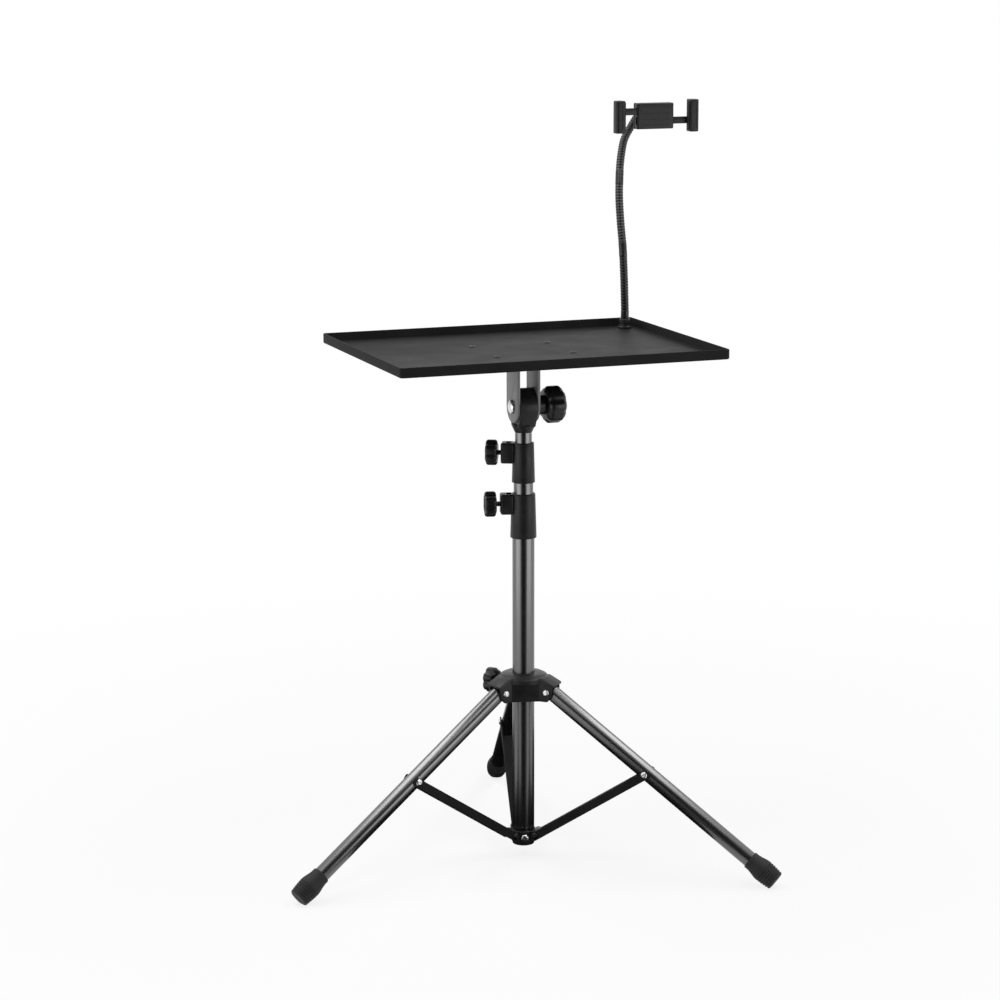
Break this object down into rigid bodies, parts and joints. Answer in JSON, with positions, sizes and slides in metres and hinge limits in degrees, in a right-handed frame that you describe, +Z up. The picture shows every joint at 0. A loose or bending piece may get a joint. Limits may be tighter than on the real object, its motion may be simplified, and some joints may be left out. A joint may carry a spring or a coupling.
{
  "type": "projector stand",
  "caption": "Folding tripod stand with a telescopic column, a tilting tray for a projector, and a phone holder on a bendable neck",
  "frame": {"origin": "on the floor, on the axis of the column", "axes": "+Z up along the column, +X to the right along the tray's width, -Y is the front"},
  "size_m": [0.5645, 0.5257, 0.8508],
  "materials": {
    "gloss_black": "gloss powder coat",
    "satin_black": "satin powder coat",
    "black_plastic": "moulded",
    "steel": "plated",
    "grey_steel": "grey",
    "rubber": "ribbed"
  },
  "bodies": {
    "root": {"lower_tube": "gloss_black", "column_end_plug": "black_plastic", "bottom_collar": "black_plastic", "bottom_collar_screw": "steel", "strut_pivot_rivet_1": "steel", "strut_pivot_rivet_2": "steel", "strut_pivot_rivet_3": "steel", "lower_collar": "black_plastic", "lower_collar_nut": "steel"},
    "lower_knob": {"lower_knob": "black_plastic", "lower_knob_screw": "steel"},
    "hub": {"hub": "black_plastic", "hub_nut": "steel", "leg_pivot_rivet_1": "steel", "leg_pivot_rivet_2": "steel", "leg_pivot_rivet_3": "steel"},
    "hub_knob": {"hub_knob": "black_plastic", "hub_knob_screw": "steel"},
    "leg_1": {"leg_1": "gloss_black", "foot_1": "rubber"},
    "leg_2": {"leg_2": "gloss_black", "foot_2": "rubber"},
    "leg_3": {"leg_3": "gloss_black", "foot_3": "rubber"},
    "strut_1": {"strut_1": "satin_black"},
    "strut_2": {"strut_2": "satin_black"},
    "strut_3": {"strut_3": "satin_black"},
    "middle_slider": {"middle_bush": "black_plastic"},
    "middle_column": {"middle_tube": "gloss_black", "upper_collar": "black_plastic", "upper_collar_nut": "steel"},
    "upper_knob": {"upper_knob": "black_plastic", "upper_knob_screw": "steel"},
    "top_slider": {"top_bush": "black_plastic"},
    "top_column": {"top_tube": "gloss_black", "tilt_head": "black_plastic", "head_pin": "steel"},
    "tray": {"yoke": "grey_steel", "yoke_rivet": "steel", "mount_channel": "satin_black", "tray": "satin_black", "tilt_bolt": "steel", "tilt_washer": "steel", "neck_nut": "steel", "base_ferrule": "black_plastic", "neck_lower": "black_plastic"},
    "tilt_knob": {"tilt_knob": "black_plastic"},
    "neck_middle": {"neck_middle": "black_plastic"},
    "neck_upper": {"neck_upper": "black_plastic", "ball_socket": "black_plastic"},
    "ring_nut": {"ring_nut": "black_plastic"},
    "ball_seat": {"ball_seat": "black_plastic"},
    "holder": {"holder_ball": "steel", "holder_body": "black_plastic", "holder_cover": "black_plastic"},
    "left_jaw": {"left_jaw": "black_plastic", "left_pad": "rubber"},
    "right_jaw": {"right_jaw": "black_plastic", "right_pad": "rubber"}
  },
  "joints": [
    {"name": "hub_slide", "type": "slide", "parent": "root", "child": "hub", "axis": [0, 0, 1], "range_m": [0, 0.133]},
    {"name": "lower_knob_turn", "type": "hinge", "parent": "root", "child": "lower_knob", "pos_m": [0, 0, 0.4115], "axis": [-0.9664, 0.2571, 0], "range_deg": [0, 360]},
    {"name": "hub_knob_turn", "type": "hinge", "parent": "hub", "child": "hub_knob", "pos_m": [0, 0, 0.202], "axis": [-0.7145, 0.6997, 0], "range_deg": [0, 360]},
    {"name": "middle_slide", "type": "slide", "parent": "root", "child": "middle_slider", "axis": [0, 0, 1], "range_m": [-0.012, 0.29]},
    {"name": "middle_turn", "type": "hinge", "parent": "middle_slider", "child": "middle_column", "pos_m": [0, 0, 0.3], "axis": [0, 0, 1], "continuous": true},
    {"name": "upper_knob_turn", "type": "hinge", "parent": "middle_column", "child": "upper_knob", "pos_m": [0, 0, 0.4693], "axis": [-0.8918, 0.4524, 0], "range_deg": [0, 360]},
    {"name": "top_slide", "type": "slide", "parent": "middle_column", "child": "top_slider", "axis": [0, 0, 1], "range_m": [-0.011, 0.29]},
    {"name": "top_turn", "type": "hinge", "parent": "top_slider", "child": "top_column", "pos_m": [0, 0, 0.4], "axis": [0, 0, 1], "continuous": true},
    {"name": "tray_tilt", "type": "hinge", "parent": "top_column", "child": "tray", "pos_m": [0, 0, 0.5225], "axis": [1, 0, 0], "range_deg": [-90, 90]},
    {"name": "tilt_knob_turn", "type": "hinge", "parent": "tray", "child": "tilt_knob", "pos_m": [0.035, 0, 0.5225], "axis": [1, 0, 0], "range_deg": [0, 360]},
    {"name": "neck_bend", "type": "hinge", "parent": "tray", "child": "neck_middle", "pos_m": [0.17233, 0.126, 0.67742], "axis": [1, 0, 0], "range_deg": [-30, 30]},
    {"name": "neck_lean", "type": "hinge", "parent": "neck_middle", "child": "neck_upper", "pos_m": [0.17825, 0.15188, 0.75967], "axis": [0, 1, 0], "range_deg": [-25, 25]},
    {"name": "ring_nut_turn", "type": "hinge", "parent": "neck_upper", "child": "ring_nut", "pos_m": [0.211, 0.147, 0.832], "axis": [0, -1, 0], "range_deg": [0, 360]},
    {"name": "holder_turn", "type": "hinge", "parent": "neck_upper", "child": "ball_seat", "pos_m": [0.211, 0.147, 0.832], "axis": [0, 1, 0], "range_deg": [-90, 90]},
    {"name": "holder_tilt", "type": "hinge", "parent": "ball_seat", "child": "holder", "pos_m": [0.211, 0.147, 0.832], "axis": [1, 0, 0], "range_deg": [-20, 20]},
    {"name": "left_jaw_slide", "type": "slide", "parent": "holder", "child": "left_jaw", "axis": [-1, 0, 0], "range_m": [-0.012, 0.008]},
    {"name": "right_jaw_slide", "type": "slide", "parent": "holder", "child": "right_jaw", "axis": [1, 0, 0], "range_m": [-0.012, 0.008]},
    {"name": "leg_fold_1", "type": "hinge", "parent": "hub", "child": "leg_1", "pos_m": [0.00821, 0.03196, 0.197], "axis": [-0.9686, 0.2487, 0], "range_deg": [0, 49.76]},
    {"name": "strut_fold_1", "type": "hinge", "parent": "root", "child": "strut_1", "pos_m": [0.00473, 0.0184, 0.026], "axis": [0.9686, -0.2487, 0], "range_deg": [0, 47.52]},
    {"name": "leg_fold_2", "type": "hinge", "parent": "hub", "child": "leg_2", "pos_m": [-0.03178, -0.00887, 0.197], "axis": [0.2689, -0.9632, 0], "range_deg": [0, 49.76]},
    {"name": "strut_fold_2", "type": "hinge", "parent": "root", "child": "strut_2", "pos_m": [-0.0183, -0.00511, 0.026], "axis": [-0.2689, 0.9632, 0], "range_deg": [0, 47.52]},
    {"name": "leg_fold_3", "type": "hinge", "parent": "hub", "child": "leg_3", "pos_m": [0.02358, -0.02309, 0.197], "axis": [0.6997, 0.7145, 0], "range_deg": [0, 49.76]},
    {"name": "strut_fold_3", "type": "hinge", "parent": "root", "child": "strut_3", "pos_m": [0.01358, -0.01329, 0.026], "axis": [-0.6997, -0.7145, 0], "range_deg": [0, 47.52]}
  ],
  "couplings": [
    {"joint": "right_jaw_slide", "follows": "left_jaw_slide", "ratio": 1},
    {"joint": "leg_fold_1", "follows": "hub_slide", "rad_per_m": 6.5273},
    {"joint": "strut_fold_1", "follows": "hub_slide", "rad_per_m": 6.2336},
    {"joint": "leg_fold_2", "follows": "hub_slide", "rad_per_m": 6.5273},
    {"joint": "strut_fold_2", "follows": "hub_slide", "rad_per_m": 6.2336},
    {"joint": "leg_fold_3", "follows": "hub_slide", "rad_per_m": 6.5273},
    {"joint": "strut_fold_3", "follows": "hub_slide", "rad_per_m": 6.2336}
  ]
}
